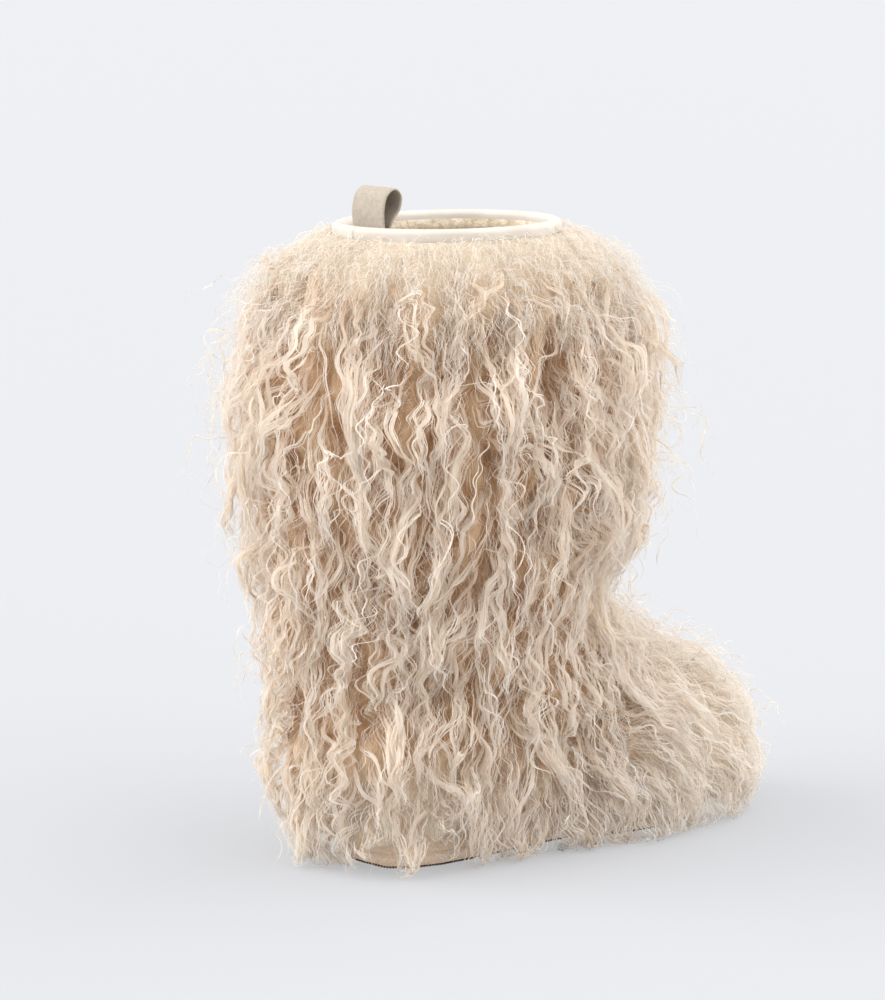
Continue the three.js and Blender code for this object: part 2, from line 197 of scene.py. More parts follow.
# Guides that locks gather round, and the size of their waves in millimetres
GUIDES = dict(
    locks=340, levels=(0, 326), ahead=ANYWHERE, length=(0.9, 1.3), rise=(0.25, 1.15), flare=(-0.4, 0.3),
    stray=0.6, weight=0.16, left_long=0.06, wave=4.0,
)
# Kinds of lock: their number; the range of level where they root and, below the shaft, of place along X;
# ranges of length and rise as shares of the tables; how much further than the rise their tips stand off; how
# much they stray at the root; how readily they bend down; the share left long at the heel; how closely they
# gather round their guide at the tip; the size of their own waves; then the strands in each, their points,
# how far they spread across and out of the lock, their width and the range of their shade. In millimetres.
# The main tresses, as far as the middle of the foot
TRESSES = dict(
    locks=1420, levels=(0, 320), ahead=(-200, 116), length=(0.75, 1.1), rise=(0.1, 0.9), flare=(-0.4, 0.3),
    stray=0.4, weight=0.16, left_long=0.08, gather=0.85, wave=1.3, strands=4, points=28, spread=(2.4, 1.4),
    width=0.44, shade=(0.1, 0.9),
)
# The matted core of each tress
CORES = dict(strands=1, points=44, spread=(0.3, 0.2), width=2.0, shade=(0.1, 0.9))
# Pale locks over the tresses
WISPS = dict(
    locks=400, levels=(0, 308), ahead=ANYWHERE, length=(0.8, 1.2), rise=(0.6, 1.1), flare=(-0.4, 0.3),
    stray=0.6, weight=0.16, left_long=0.3, gather=0.6, wave=2.6, strands=3, points=30, spread=(0.9, 0.7),
    width=0.6, shade=(0.85, 1.0),
)
# Locks that stand off the rest
STRAYS = dict(
    locks=300, levels=(40, 312), ahead=ANYWHERE, length=(0.7, 1.05), rise=(0.8, 1.2), flare=(0.2, 1.1),
    stray=0.7, weight=0.1, left_long=0.3, gather=0, wave=2.7, strands=2, points=36, spread=(0.6, 0.4),
    width=0.55, shade=(0.55, 1.0),
)
# Curled tips over the foot
FOOT_TIPS = dict(
    locks=70, levels=(36, 140), ahead=(60, 300), length=(0.6, 0.95), rise=(0.8, 1.3), flare=(0.3, 1.2),
    stray=0.5, weight=0.08, left_long=0, gather=0, wave=2.6, strands=2, points=36, spread=(0.6, 0.4),
    width=0.55, shade=(0.6, 1.0),
)
# Single hairs
FLYAWAYS = dict(
    locks=750, levels=(0, 340), ahead=ANYWHERE, length=(0.6, 1.2), rise=(0.7, 1.35), flare=(-0.4, 0.3),
    stray=0.9, weight=0.08, left_long=0.5, gather=0.1, wave=3.0, strands=1, points=18, spread=(0, 0),
    width=0.26, shade=(0.5, 1.0),
)
# Fine loose hair over the tresses
VEIL = dict(
    locks=1450, levels=(0, 314), ahead=(-200, 150), length=(0.4, 0.75), rise=(0.5, 1.15), flare=(-0.4, 0.3),
    stray=0.9, weight=0.07, left_long=0.1, gather=0.15, wave=2.8, strands=3, points=12, spread=(4.0, 3.0),
    width=0.2, shade=(0.5, 1.0),
)
# Soft locks over the front of the foot
FOOT_FLUFF = dict(
    locks=560, levels=(0, 140), ahead=(85, 300), length=(0.5, 1.0), rise=(0.2, 1.0), flare=(-0.4, 0.9),
    stray=0.5, weight=0.14, left_long=0, gather=0.55, wave=2.2, strands=6, points=15, spread=(3.6, 2.4),
    width=0.42, shade=(0.3, 1.0),
)
# Locks at the lower edge, over the sole
HEM = dict(
    locks=480, levels=(0, 46), ahead=ANYWHERE, length=(1.0, 1.4), rise=(0.3, 1.0), flare=(-0.3, 0.3),
    stray=0.35, weight=0.2, left_long=0, gather=0.4, wave=2.2, strands=4, points=14, spread=(3.0, 1.6),
    width=0.5, shade=(0.3, 1.0),
)
# Short hair under the collar
FLUFF = dict(
    locks=2200, levels=(290, 345), ahead=ANYWHERE, length=(0.12, 0.4), rise=(0.05, 0.7),
    flare=(-0.2, 0.3), stray=0.9, weight=0.06, left_long=0, gather=0.06, wave=2.2, strands=3, points=8,
    spread=(3.4, 2.2), width=0.32, shade=(0.4, 1.0),
)
# Places tried for each lock that roots
ROOT_TRIES = 12

# Middle line of a lock: its points, the first of them that stay rooted, and how deep
LINE_POINTS = 44
LINE_SHARES = np.linspace(0, 1, LINE_POINTS)
ROOT_POINTS = 3
ROOT_DEPTH = 2
# Its fall and lean as it leaves the pelt; shares of its length for the greatest rise and where it has risen
ROOT_FALL = 0.5
ROOT_LEAN = 0.5
STEEPEST_RISE = 0.7
RISEN_AT = 0.5
# How far past the floor its length may reach, the share of that way it takes, and its lowest level
FLOOR_SLACK = 22
FLOOR_SHARES = (0.75, 1.05)
LOWEST_LINE = 3
# Share of its length where it has joined its guide, and the length that takes the guide's whole wave
GATHERED_AT = 0.75
GUIDE_RUN = 80
# Limits of hair: past the solids' box, over its underside, over the collar's binding and over the floor
FUR_REACH = 9
FUR_CLEARANCE = 2.5
FLUFF_OVER_COLLAR = 1
LOWEST_STRAND = 0.4

# Waves of a lock: how many in a run of it in millimetres, their sizes, the ranges in which turns, sizes and
# locks vary, the shares of length between which waves grow, and their size out of the lock beside across it
WAVES = np.array([1.4, 3.2, 5.0])
WAVE_SIZES = np.array([0.65, 0.65, 0.35])
WAVE_RUN = 75
TURNS_VARY = (0.6, 1.25)
SIZES_VARY = (0.5, 1.5)
LOCKS_VARY = (0.25, 1.4)
WAVES_GROW = (-0.2, 0.4)
WAVE_OUT = 0.5

# Strands of a lock: their share of its length, how much of their spread closes and from where, and how far
# out of the lock they lie on the whole
STRAND_LENGTHS = (0.75, 1.0)
STRAND_CLOSING = 0.7
CLOSING_FROM = 0.3
STRAND_OUT = 0.6
# Ripple of a strand in millimetres, its turns and how much more there is of it sideways
RIPPLE = 0.5
RIPPLE_TURNS = (1.5, 3.5)
RIPPLE_SIDEWAYS = 1.4
# Twist of a strand in radians either way, and its turns
TWIST = 0.7
TWIST_TURNS = (1, 3)
# Widths beside the full one at the root and the tip, where a strand is full, and how strands and points vary
ROOT_WIDTH = 0.6
TIP_WIDTH = 0.15
FULL_BETWEEN = (0.3, 0.5)
STRANDS_VARY = (0.6, 1.4)
POINTS_VARY = (0.8, 1.2)
# Scatter of shades in a lock, and how much of their range a strip takes up for each millimetre of width
SHADE_SCATTER = 0.08
SHADE_BAND = 0.05

# Binding, in millimetres: its width over both folds, one fold, its crown and the steps over that, how far
# its edges and sides draw in, the gap over the collar, and how much of it shows inside above the fleece
BINDING_WIDTH = 7.5
BINDING_FOLD = 2.2
BINDING_CROWN = 3
CROWN_STEPS = 11
BINDING_TUCK = 0.5
BINDING_BOW = 0.15
BINDING_GAP = 0.4
BINDING_SHOWS = 4.5
# Its seam at the back, the share of the seam's depth that dips it, and its waves: size, turns and start
SEAM_WIDTH = 0.8
SEAM_DEPTH = 1.5
SEAM_DIP = 0.3
BINDING_WAVES = [(0.15, 3, 0.4), (0.1, 8, 2)]
RIM_STEPS = 420

# The fleece lining, in millimetres: how far down it runs, the size of its tufts, its least thickness, how
# much tufts add and hollows take away, and the share of the way down where it begins to thin out
LINING_DEPTH = 130
FLEECE_TUFT = 3.4
FLEECE_LEAST = 0.3
FLEECE_TUFTED = 2.1
FLEECE_HOLLOW = 1.7
FLEECE_THINS = 0.8
LINING_ROWS = 56
LINING_STEPS = 170

# The loop's line ahead of its seat and above the binding, in millimetres, and its tape
LOOP_LINE = [
    (0.8, -18), (0.8, -1), (0.4, 8), (2.6, 16), (8, 19.5), (12.4, 16), (11.6, 9), (5.2, -0.5), (2.7, -18),
]
LOOP_SEAT = 0.4
LOOP_THICKNESS = 1.5
LOOP_STEPS = 140
LOOP_COLUMNS = 28
SPAN_STEPS = 40
# Its weave, the columns in a thread, where its edge begins, and how much that thins and waves
WEAVE_PITCH = 1.5
WEAVE_HEIGHT = 0.16
THREAD_COLUMNS = 2
TAPE_EDGE_FROM = 0.94
TAPE_EDGE_THINNING = 0.5
TAPE_EDGE_WAVE = 0.15

# The sole, in millimetres: its round ends, how far its side is let down, the slant from which a face counts
# as underside, and the angle from which an edge is sharp
HEEL_ROUND = 34
TOE_ROUND = 43
SOLE_SETTLE = 0.3
UNDERSIDE = -0.3
SHARP_EDGE = math.radians(38)
# The band and the teeth along its lower edge, each with a reach from inside the edge to outside it
PLATE_THICKNESS = 3
BAND_DEPTH = 1.2
BAND_RISE = 4.2
BAND_LEAN = 0.7
BAND_REACH = (-1.6, 0.42)
TOOTH_PITCH = 1.6
TOOTH_WIDTH = 0.9
TOOTH_DEPTH = 2.3
TOOTH_ROOT = 0.1
TOOTH_REACH = (-1.4, 0.35)
# The search for that edge: steps round an end and along a side, the level it looks down from, the distances
# from the middle line that it lies between, and how often they are halved
END_STEPS = 60
SIDE_STEPS = 120
LOOK_FROM = 60
EDGE_BETWEEN = (5, 80)
EDGE_HALVINGS = 14


def linear(colour):
    """An sRGB colour as the linear one that shaders take, with alpha."""
    c = np.asarray(colour, float)
    values = np.where(c <= 0.04045, c / 12.92, ((c + 0.055) / 1.055) ** 2.4)
    return (*values, 1.0)


def smoothstep(low, high, x):
    t = np.clip((x - low) / (high - low), 0, 1)
    return t * t * (3 - 2 * t)


def unit(v):
    return v / np.maximum(np.linalg.norm(v, axis=-1, keepdims=True), LEAST_SPAN)


# Materials
def surface_of(material):
    return material.node_tree.nodes["Principled BSDF"]


def shader(name, colour, roughness, specular):
    material = bpy.data.materials.new(name)
    material.use_nodes = True
    surface = surface_of(material)
    surface.inputs["Base Color"].default_value = linear(colour)
    surface.inputs["Roughness"].default_value = roughness
    surface.inputs["Specular IOR Level"].default_value = specular
    return material


def add_node(material, kind, **settings):
    node = material.node_tree.nodes.new(kind)
    for key, value in settings.items():
        setattr(node, key, value)
    return node


def link(material, source, target):
    material.node_tree.links.new(source, target)


def ramp(material, stops):
    node = add_node(material, "ShaderNodeValToRGB")
    elements = node.color_ramp.elements
    while len(elements) < len(stops):
        elements.new(0.5)
    for element, (place, colour) in zip(elements, stops):
        element.position = place
        element.color = linear(colour)
    return node


def add_noise(material, scale, detail, stretch):
    """A noise texture fixed to the object, in waves per metre."""
    coordinates = add_node(material, "ShaderNodeTexCoord")
    mapping = add_node(material, "ShaderNodeMapping")
    mapping.inputs["Scale"].default_value = stretch
    texture = add_node(material, "ShaderNodeTexNoise")
    texture.inputs["Scale"].default_value = scale
    texture.inputs["Detail"].default_value = detail
    link(material, coordinates.outputs["Object"], mapping.inputs["Vector"])
    link(material, mapping.outputs["Vector"], texture.inputs["Vector"])
    return texture.outputs["Fac"]


def add_bump(material, height, distance):
    bump = add_node(material, "ShaderNodeBump")
    bump.inputs["Distance"].default_value = distance
    surface = surface_of(material)
    link(material, height, bump.inputs["Height"])
    link(material, bump.outputs["Normal"], surface.inputs["Normal"])


def mottled(name, light, dark, roughness, colour_scale, grain_scale, grain_height, stretch=(1, 1, 1)):
    """A material of two mingled shades with a grain of its own, its height in millimetres."""
    material = shader(name, light, roughness, DULL_SPECULAR)
    dark_to, light_from = MOTTLE_STOPS
    shade = ramp(material, [(dark_to, dark), (light_from, light)])
    surface = surface_of(material)
    link(material, add_noise(material, colour_scale, COLOUR_DETAIL, stretch), shade.inputs["Fac"])
    link(material, shade.outputs["Color"], surface.inputs["Base Color"])
    add_bump(material, add_noise(material, grain_scale, GRAIN_DETAIL, stretch), grain_height * MM)
    return material


def multiplied(material, first, second):
    """The product of two colours."""
    mix = add_node(material, "ShaderNodeMix", data_type="RGBA", blend_type="MULTIPLY")
    mix.inputs["Factor"].default_value = 1.0
    link(material, first, mix.inputs["A"])
    link(material, second, mix.inputs["B"])
    return mix.outputs["Result"]


def fur_shader(name, stops):
    """Colour runs from root to tip along V, and from one strand to the next along U."""
    material = shader(name, PILE_BEIGE, HAIR_ROUGHNESS, DULL_SPECULAR)
    surface = surface_of(material)
    output = material.node_tree.nodes["Material Output"]
    place = add_node(material, "ShaderNodeUVMap", uv_map="OFBake")
    axes = add_node(material, "ShaderNodeSeparateXYZ")
    # Colour by share of length; where the stops darken the root, that is partly painted shade deep in the
    # fur
    along_strand = ramp(material, stops)
    strand = ramp(material, [(0.0, DULL_STRAND), (1.0, WHITE)])
    mapping = add_node(material, "ShaderNodeMapping")
    mapping.inputs["Scale"].default_value = STREAK_SCALE
    streaks = add_node(material, "ShaderNodeTexNoise")
    streaks.inputs["Scale"].default_value = 1.0
    streak_to, plain_from = STREAK_STOPS
    streak = ramp(material, [(streak_to, STREAK), (plain_from, WHITE)])
    shaded = multiplied(material, along_strand.outputs["Color"], strand.outputs["Color"])
    streaked = multiplied(material, shaded, streak.outputs["Color"])
    through = add_node(material, "ShaderNodeBsdfTranslucent")
    blend = add_node(material, "ShaderNodeMixShader")
    blend.inputs["Fac"].default_value = SHINE_THROUGH
    link(material, place.outputs["UV"], axes.inputs["Vector"])
    link(material, place.outputs["UV"], mapping.inputs["Vector"])
    link(material, mapping.outputs["Vector"], streaks.inputs["Vector"])
    link(material, streaks.outputs["Fac"], streak.inputs["Fac"])
    add_bump(material, streaks.outputs["Fac"], STREAK_HEIGHT * MM)
    link(material, axes.outputs["Y"], along_strand.inputs["Fac"])
    link(material, axes.outputs["X"], strand.inputs["Fac"])
    link(material, streaked, surface.inputs["Base Color"])
    link(material, streaked, through.inputs["Color"])
    link(material, surface.outputs["BSDF"], blend.inputs[1])
    link(material, through.outputs["BSDF"], blend.inputs[2])
    link(material, blend.outputs["Shader"], output.inputs["Surface"])
    return material


# Pieces
def add_object(name, data):
    thing = bpy.data.objects.new(name, data)
    bpy.context.scene.collection.objects.link(thing)
    return thing


def piece(name, vertices, faces, material, replaced=None, uv=None, closed=False):
    """A mesh of the boot, in place of a CAD node where one is named."""
    mesh = bpy.data.meshes.new(name)
    mesh.from_pydata(np.asarray(vertices, float), [], np.asarray(faces).tolist(), shade_flat=False)
    if uv is not None:
        layer = mesh.uv_layers.new(name="OFBake")
        layer.uv.foreach_set("vector", uv[np.asarray(faces).ravel()].astype(np.float32).ravel())
    if closed:
        shell = bmesh.new()
        shell.from_mesh(mesh)
        bmesh.ops.recalc_face_normals(shell, faces=shell.faces)
        shell.to_mesh(mesh)
        shell.free()
    mesh.materials.append(material)
    thing = add_object(name, mesh)
    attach(thing, "root")
    if replaced:
        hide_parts(replaced)
    return thing


def grid_faces(rows, columns, round_rows=False, round_columns=True):
    """Quads of a grid of points, joined end to end where it is round."""
    row, column = np.meshgrid(
        np.arange(rows if round_rows else rows - 1),
        np.arange(columns if round_columns else columns - 1),
        indexing="ij",
    )
    next_row, next_column = (row + 1) % rows, (column + 1) % columns
    corners = [(row, column), (next_row, column), (next_row, next_column), (row, next_column)]
    return np.stack([r * columns + c for r, c in corners], -1).reshape(-1, 4)


def triangles_of(node):
    """Vertices, merged by place, and triangles of a CAD node."""
    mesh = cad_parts[node].data
    mesh.calc_loop_triangles()
    points = np.empty(len(mesh.vertices) * 3)
    mesh.vertices.foreach_get("co", points)
    corners = np.empty(len(mesh.loop_triangles) * 3, np.int32)
    mesh.loop_triangles.foreach_get("vertices", corners)
    merged, inverse = np.unique(points.reshape(-1, 3).round(PLACE_DIGITS), axis=0, return_inverse=True)
    faces = inverse.ravel()[corners].reshape(-1, 3)
    distinct = (faces[:, 0] != faces[:, 1]) & (faces[:, 1] != faces[:, 2]) & (faces[:, 2] != faces[:, 0])
    return merged, faces[distinct]


def search_tree(points, faces):
    return BVHTree.FromPolygons(points.tolist(), faces.tolist())


class Surface:
    """A triangle mesh that hair can root in and lie on."""

    def __init__(self, points, faces):
        a, b, c = (points[faces[:, corner]] for corner in range(3))
        across = np.cross(b - a, c - a)
        normals = np.zeros_like(points)
        for corner in range(3):
            np.add.at(normals, faces[:, corner], across)
        self.points = points
        self.faces = faces
        self.areas = np.linalg.norm(across, axis=1) / 2
        self.normals = unit(normals)
        self.tree = search_tree(points, faces)

    def sample(self, count):
        """Points spread by chance over the surface, with its outward direction there."""
        face = rng.choice(len(self.faces), count, p=self.areas / self.areas.sum())
        a, b = rng.random((2, count))
        fold = a + b > 1
        a, b = np.where(fold, 1 - a, a), np.where(fold, 1 - b, b)
        weights = np.stack([1 - a - b, a, b], 1)[..., None]
        corners = self.faces[face]
        return (self.points[corners] * weights).sum(1), unit((self.normals[corners] * weights).sum(1))

    def nearest(self, places):
        """For each place: the nearest point of the surface and its outward direction there."""
        found = [self.tree.find_nearest(Vector(p)) for p in places]
        spots = np.array([f[0] for f in found])
        corners = self.faces[[f[2] for f in found]]
        a, b, c = (self.points[corners[:, i]] for i in range(3))
        full = np.linalg.norm(np.cross(b - a, c - a), axis=1)
        sides = [(b, c), (c, a), (a, b)]
        areas = [np.linalg.norm(np.cross(p - spots, q - spots), axis=1) for p, q in sides]
        shares = np.stack(areas, 1) / np.maximum(full, LEAST_AREA)[:, None]
        return spots, unit((self.normals[corners] * shares[..., None]).sum(1))


def skin_surface():
    """The outside of the upper's wall, which the fur covers."""
    points, faces = triangles_of("upper")
    fur_tree = search_tree(*triangles_of("fur"))
    corners = points[faces]
    outward = unit(np.cross(corners[:, 1] - corners[:, 0], corners[:, 2] - corners[:, 0]))
    covered = []
    for middle, way in zip(corners.mean(1), outward):
        hit = fur_tree.ray_cast(Vector(middle), Vector(way), FUR_GAP * MM)[0]
        covered.append(hit is not None)
    return Surface(points, faces[covered])


def spread_out(points, count):
    """Indices of points that lie far from each other."""
    chosen = [0]
    distance = np.full(len(points), np.inf)
    for _ in range(count - 1):
        distance = np.minimum(distance, ((points - points[chosen[-1]]) ** 2).sum(1))
        chosen.append(int(distance.argmax()))
    return np.array(chosen)


def waves_over(places, waves):
    """Waves over the boot, each between -1 and 1."""
    x, y, z = (places / MM).T
    return [np.sin(ahead * x + aside * y + upward * z + start) for ahead, aside, upward, start in waves]


def drift(places):
    """A slow wander over the boot, between -1 and 1, so that neighbours lean alike."""
    first, second = waves_over(places, SLOW_WAVES)
    return FIRST_SHARE * first + (1 - FIRST_SHARE) * second


def patches(places):
    """A quicker wander, between -1 and 1, that makes hollows between tresses."""
    first, crossing, second = waves_over(places, QUICK_WAVES)
    return FIRST_SHARE * (first * crossing) + (1 - FIRST_SHARE) * second


def thinning(places):
    """How much thinner the fur is where the shaft meets the instep, and over the toes."""
    x, _, z = (places / MM).T
    instep = INSTEP_THINNING * smoothstep(*INSTEP_AHEAD, x) * smoothstep(*INSTEP_ABOVE, z)
    toes = TOE_THINNING * smoothstep(*TOE_AHEAD, x) * smoothstep(*TOE_ABOVE, z)
    return instep * smoothstep(*INSTEP_BELOW, z) + toes


# Pelt: the dense wool under the locks
def subdivided(surface, parts):
    """Points, outward directions and faces of a surface with each triangle cut into parts a side."""
    grid = [(i, j) for i in range(parts + 1) for j in range(parts + 1 - i)]
    index = {ij: k for k, ij in enumerate(grid)}
    small = []
    for i, j in grid:
        if i + j < parts:
            small.append((index[i, j], index[i + 1, j], index[i, j + 1]))
        if i + j < parts - 1:
            small.append((index[i + 1, j], index[i + 1, j + 1], index[i, j + 1]))
    weights = np.array([(parts - i - j, i, j) for i, j in grid]) / parts
    places = np.einsum("gk,fkc->fgc", weights, surface.points[surface.faces]).reshape(-1, 3)
    normals = np.einsum("gk,fkc->fgc", weights, surface.normals[surface.faces]).reshape(-1, 3)
    faces = (np.arange(len(surface.faces))[:, None, None] * len(grid) + np.array(small)).reshape(-1, 3)
    rounded = places.round(PLACE_DIGITS)
    places, first, inverse = np.unique(rounded, axis=0, return_index=True, return_inverse=True)
    return places, unit(normals[first]), inverse.ravel()[faces]


def pelt_shader():
    """Wool mottled in tan and brown, partly painted shade, paler towards the collar, the toes and the hem.
    """
    material = mottled("pelt", PELT_TAN_AND_SHADE, PELT_BROWN_AND_SHADE, **PELT_LOOK)
    surface = surface_of(material)
    wool = surface.inputs["Base Color"].links[0].from_socket
    coordinates = add_node(material, "ShaderNodeTexCoord")
    axes = add_node(material, "ShaderNodeSeparateXYZ")
    link(material, coordinates.outputs["Object"], axes.inputs["Vector"])
    for axis, (start, end) in (("X", PALE_AHEAD), ("Z", PALE_ABOVE), ("Z", PALE_BELOW)):
        share = add_node(material, "ShaderNodeMapRange")
        share.inputs["From Min"].default_value = start * MM
        share.inputs["From Max"].default_value = end * MM
        paled = add_node(material, "ShaderNodeMix", data_type="RGBA")
        paled.inputs["B"].default_value = linear(PELT_PALE)
        link(material, axes.outputs[axis], share.inputs["Value"])
        link(material, share.outputs["Result"], paled.inputs["Factor"])
        link(material, wool, paled.inputs["A"])
        wool = paled.outputs["Result"]
    link(material, wool, surface.inputs["Base Color"])
    return material


def pelt(skin):
    """The skin raised to the height of the wool, with hollows between tresses."""
    material = pelt_shader()
    places, normals, faces = subdivided(skin, PELT_PARTS)
    places[:, 2] = np.minimum(places[:, 2], PELT_TOP * MM)
    level = places[:, 2] / MM
    hollows = HOLLOW_SHARE * smoothstep(*HOLLOWS_END, level)
    uneven = 1 + hollows * patches(places) + WANDER_SHARE * drift(places)
    lift = np.interp(level, LEVELS, PELT_LIFT) * uneven
    raised = places + normals * (lift * (1 - thinning(places)))[:, None] * MM
    raised[:, 2] += np.interp(level, LEVELS, PELT_PUFF) * MM
    piece("pelt", raised, faces, material, "fur")
    return Surface(raised, faces)


# Locks
def trimmed(roots, lengths, left_long):
    """Lengths of locks, most of them cut at the outer back of the heel to show the sole between tufts."""
    middle = math.radians(VIEW_AZIMUTH) - math.pi / 2 + HEEL_TURN
    bearing = np.arctan2(roots[:, 1], roots[:, 0])
    turn = np.abs((bearing - middle + math.pi) % (2 * math.pi) - math.pi)
    window = (turn < HEEL_WINDOW) & (roots[:, 0] < HEEL_REACH * MM)
    window &= rng.random(len(roots)) > left_long
    window &= np.sin(HEEL_TUFTS * bearing) < TUFT_THINNESS
    hem = (HEEL_HEM + rng.normal(0, HEM_SCATTER, len(roots))) * MM
    room = np.maximum(roots[:, 2] - hem, LEAST_LENGTH * MM)
    return np.where(window, np.minimum(lengths, room), lengths)


def fall(places):
    """Which way hair is drawn: down, and forward over the foot."""
    x, _, z = (places / MM).T
    forward = FORWARD_PULL * smoothstep(*FORWARD_BELOW, z) * smoothstep(*FORWARD_ABOVE, z)
    forward = forward * smoothstep(*FORWARD_AHEAD, x)
    return unit(np.stack([forward, np.zeros_like(forward), -np.ones_like(forward)], 1))


def waving(lengths):
    """Uneven waves along locks (lock, point), more of them in a longer lock."""
    each = (len(lengths), len(WAVES), 1)
    turns = WAVES[:, None] * rng.uniform(*TURNS_VARY, each) * lengths[:, None, None] / (WAVE_RUN * MM)
    sizes = WAVE_SIZES[:, None] * rng.uniform(*SIZES_VARY, each)
    return (sizes * np.sin(2 * np.pi * (turns * LINE_SHARES + rng.random(each)))).sum(1)


def waves_of(kind, lengths):
    """Waves across the lock and out of it."""
    size = kind["wave"] * MM * rng.uniform(*LOCKS_VARY, (len(lengths), 1))
    size = size * smoothstep(*WAVES_GROW, LINE_SHARES)
    return size * waving(lengths), WAVE_OUT * size * waving(lengths)


def grown(kind, base, roots, normals):
    """Middle lines of locks and the pelt's outward direction along them: they leave the pelt, bend down and
    lie over it at a height of their own."""
    count = len(roots)
    level = roots[:, 2] / MM
    lengths = np.interp(level, LEVELS, LOCK_LENGTH) * MM * rng.uniform(*kind["length"], count)
    lengths = np.minimum(lengths, (roots[:, 2] + FLOOR_SLACK * MM) * rng.uniform(*FLOOR_SHARES, count))
    lengths = trimmed(roots, lengths, kind["left_long"])
    rises = np.interp(level, LEVELS, LOCK_RISE) * MM * rng.uniform(*kind["rise"], count)
    rises = np.minimum(rises * (1 - thinning(roots)), STEEPEST_RISE * lengths)
    flare = rng.uniform(*kind["flare"], count)
    stride = (lengths / (LINE_POINTS - 1))[:, None]
    place = roots - ROOT_DEPTH * MM * normals
    sideways = np.cross(normals, fall(roots)) * drift(roots)[:, None]
    chance = rng.normal(0, kind["stray"], (count, 3))
    heading = unit(normals + ROOT_FALL * fall(roots) + ROOT_LEAN * sideways + chance)
    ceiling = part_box("collar_binding")[1][2] + FLUFF_OVER_COLLAR * MM
    lines, outwards = [place], [normals]
    for step in range(1, LINE_POINTS):
        ahead = place + unit(heading + kind["weight"] * fall(place)) * stride
        spot, normal = base.nearest(ahead)
        height = ((ahead - spot) * normal).sum(1)
        share = step / LINE_POINTS
        highest = rises * (1 + flare * share)
        lowest = highest * smoothstep(0, RISEN_AT, share) - ROOT_DEPTH * MM * (step < ROOT_POINTS)
        settled = ahead + normal * (np.clip(height, lowest, highest) - height)[:, None]
        settled[:, 2] = np.clip(settled[:, 2], LOWEST_LINE * MM, ceiling)
        heading = unit(settled - place)
        place = settled
        lines.append(place)
        outwards.append(normal)
    return np.stack(lines, 1), np.stack(outwards, 1), lengths


def roots_of(kind, base):
    """Roots spread evenly over the levels of a kind of lock."""
    candidates, normals = base.sample(ROOT_TRIES * kind["locks"])
    x, _, z = (candidates / MM).T
    (back, front), (low, high) = kind["ahead"], kind["levels"]
    able = (z > low) & (z < high) & ((z > MID_FROM) | (x > back) & (x < front))
    candidates, normals = candidates[able], normals[able]
    chosen = spread_out(candidates, kind["locks"])
    return candidates[chosen], normals[chosen]


class Guides:
    """The lines that locks gather round, and the waves that they share."""

    def __init__(self, base):
        roots, normals = roots_of(GUIDES, base)
        self.lines, _, lengths = grown(GUIDES, base, roots, normals)
        self.waves = waves_of(GUIDES, lengths)
        self.finder = KDTree(len(roots))
        for number, root in enumerate(roots):
            self.finder.insert(Vector(root), number)
        self.finder.balance()

    def nearest(self, roots):
        return np.array([self.finder.find(Vector(root))[1] for root in roots])


def lock_lines(kind, base, guides, roots, normals):
    """Waved middle lines of locks, with the directions out of the boot and across the lock."""
    lines, outwards, lengths = grown(kind, base, roots, normals)
    guide = guides.nearest(roots)
    pull = (kind["gather"] * smoothstep(0, GATHERED_AT, LINE_SHARES))[None, :, None]
    lines = lines * (1 - pull) + guides.lines[guide] * pull
    tangent = unit(np.gradient(lines, axis=1))
    outwards = unit(outwards - (outwards * tangent).sum(-1, keepdims=True) * tangent)
    asides = np.cross(outwards, tangent)
    own_across, own_out = waves_of(kind, lengths)
    share = (lengths / (GUIDE_RUN * MM))[:, None]
    lines = lines + asides * (own_across + share * guides.waves[0][guide])[..., None]
    lines = lines + outwards * (own_out + share * guides.waves[1][guide])[..., None]
    reach = FUR_REACH * MM
    least = np.array(cad_low) - (reach, reach, -FUR_CLEARANCE * MM)
    return np.clip(lines, least, np.array(cad_high) + reach), outwards, asides


def along(values, t):
    """Values on lock lines (lock, point, 3) at shares t (lock, strand, point) of their length."""
    place = np.clip(t, 0, 1) * (values.shape[1] - 1)
    low = np.minimum(place.astype(int), values.shape[1] - 2)
    share = (place - low)[..., None]
    lock = np.arange(len(values))[:, None, None]
    return values[lock, low] * (1 - share) + values[lock, low + 1] * share


def strips(paths, across, shades, band):
    """Vertices, quads and UVs of strips (strip, row, 3) with offsets (strip, row, column, 3) across them."""
    count, rows, columns = across.shape[:3]
    vertices = (paths[:, :, None] + across).reshape(-1, 3)
    vertices[:, 2] = np.maximum(vertices[:, 2], LOWEST_STRAND * MM)
    one = grid_faces(rows, columns, round_columns=False)
    quads = (np.arange(count)[:, None, None] * rows * columns + one).reshape(-1, 4)
    u = shades[:, None, None] * (1 - band) + np.linspace(0, band, columns)
    v = np.linspace(0, 1, rows)[:, None]
    u, v = np.broadcast_arrays(u, v)
    return vertices, quads, np.stack([u, v], -1).reshape(-1, 2)


